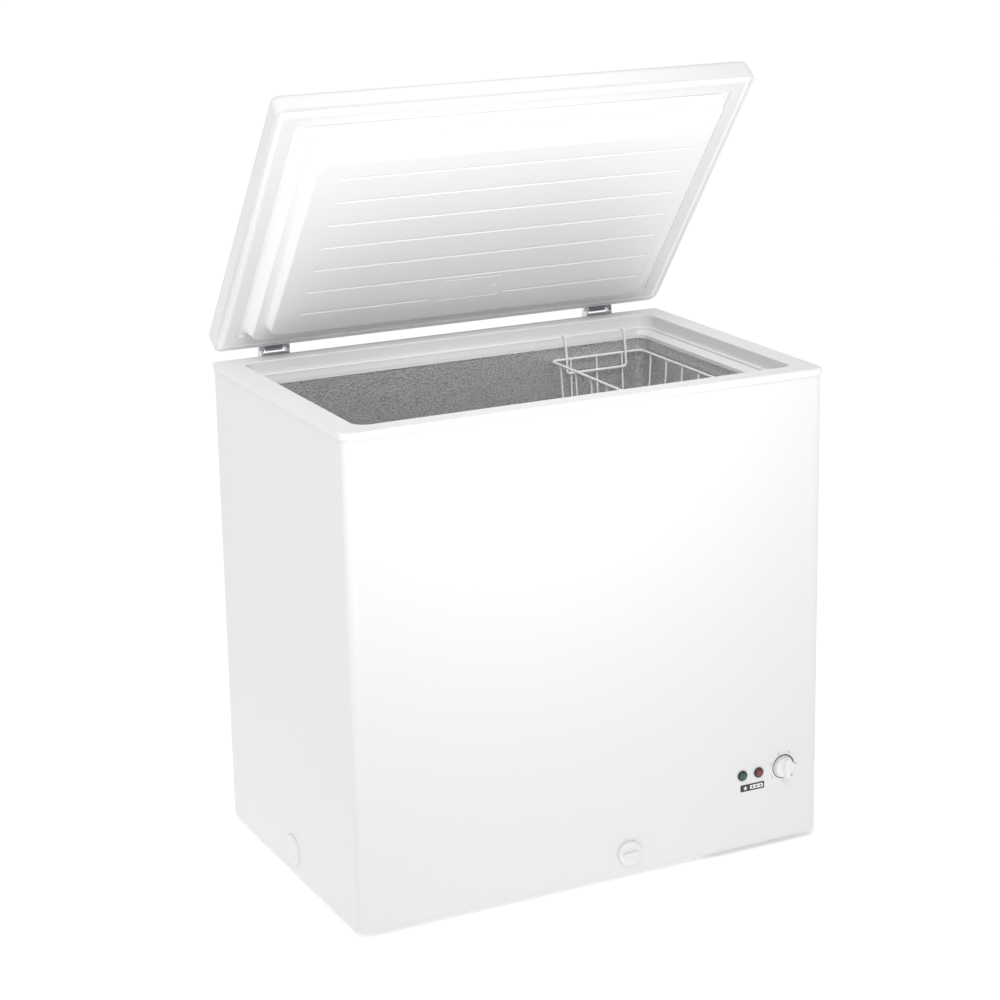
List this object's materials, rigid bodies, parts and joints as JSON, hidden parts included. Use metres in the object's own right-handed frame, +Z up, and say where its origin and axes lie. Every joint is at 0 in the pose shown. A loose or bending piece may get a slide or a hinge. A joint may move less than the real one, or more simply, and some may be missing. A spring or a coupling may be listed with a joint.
{
  "type": "chest freezer",
  "caption": "White chest freezer with a hinged insulated lid, aluminium-lined storage cavity, sliding wire basket and a thermostat dial on the front.",
  "frame": {"origin": "on the floor plane, under the middle of the steel cabinet", "axes": "+Z up, +X to the freezer's right as seen from the front, -Y towards the front"},
  "size_m": [0.8375, 0.5832, 1.2667],
  "materials": {
    "white_steel": "smooth white enamel",
    "galvanised": "galvanised sheet",
    "frame_plastic": "satin moulded plastic",
    "liner_plastic": "satin vacuum-formed plastic",
    "gasket": "soft white seal",
    "liner_aluminium": "stucco embossed",
    "foam": "rigid foam",
    "tube": "drawn tube",
    "copper": "copper tube",
    "black_steel": "black paint",
    "rubber": "moulded rubber",
    "zinc": "zinc plated",
    "spring_steel": "drawn wire",
    "black_plastic": "moulded",
    "white_plastic": "moulded",
    "knob_plastic": "light grey moulded",
    "green_lens": "coloured lens",
    "red_lens": "coloured lens",
    "plate_print": "printed label",
    "coated_wire": "plastic coated steel wire"
  },
  "bodies": {
    "cabinet": {"base_panel": "galvanised", "bracket_screws": "zinc", "cabinet_foam": "foam", "cable_gland": "black_plastic", "compressor": "black_steel", "compressor_bolts": "zinc", "compressor_feet": "black_steel", "compressor_grommets": "rubber", "compressor_tray": "galvanised", "condenser_tube": "tube", "discharge_pipe": "copper", "drain_tube": "white_plastic", "drier_pipe": "copper", "evaporator_tube": "tube", "feet": "black_plastic", "filter_drier": "copper", "green_lamp_lens": "green_lens", "grille_screws": "zinc", "hinge_bracket_left": "zinc", "hinge_bracket_right": "zinc", "hinge_pins": "zinc", "hinge_springs": "spring_steel", "inner_liner": "liner_aluminium", "lamp_bezels": "black_plastic", "lamp_holders": "black_plastic", "outer_shell": "white_steel", "rear_grille": "black_plastic", "rear_panel": "white_steel", "red_lamp_lens": "red_lens", "relay_cover": "black_plastic", "side_plug": "white_plastic", "star_plate": "plate_print", "suction_pipe": "copper", "thermostat_body": "black_plastic", "top_frame": "frame_plastic"},
    "lid": {"lid_shell": "white_steel", "lid_liner": "liner_plastic", "lid_gasket": "gasket", "lid_foam": "foam", "hinge_leaf_left": "zinc", "hinge_leaf_right": "zinc", "leaf_screws": "zinc"},
    "basket": {"basket_rim": "coated_wire", "basket_middle_ring": "coated_wire", "basket_short_wires": "coated_wire", "basket_long_wires": "coated_wire", "basket_hooks": "coated_wire"},
    "knob": {"thermostat_knob": "knob_plastic", "thermostat_shaft": "zinc"},
    "drain_cap": {"drain_cap": "white_plastic"},
    "drain_plug": {"drain_plug": "rubber"}
  },
  "joints": [
    {"name": "lid_hinge", "type": "hinge", "parent": "cabinet", "child": "lid", "pos_m": [0, 0.283, 0.812], "axis": [-1, 0, 0], "range_deg": [-52.5, 22.5]},
    {"name": "thermostat_turn", "type": "hinge", "parent": "cabinet", "child": "knob", "pos_m": [0.3465, -0.27, 0.1355], "axis": [0, 1, 0], "range_deg": [-223, 87]},
    {"name": "basket_slide", "type": "slide", "parent": "cabinet", "child": "basket", "axis": [1, 0, 0], "range_m": [-0.54, 0]},
    {"name": "drain_cap_pull", "type": "slide", "parent": "cabinet", "child": "drain_cap", "axis": [0, -1, 0], "range_m": [0, 0.03]},
    {"name": "drain_plug_pull", "type": "slide", "parent": "cabinet", "child": "drain_plug", "axis": [0, 0, 1], "range_m": [0, 0.03]}
  ]
}
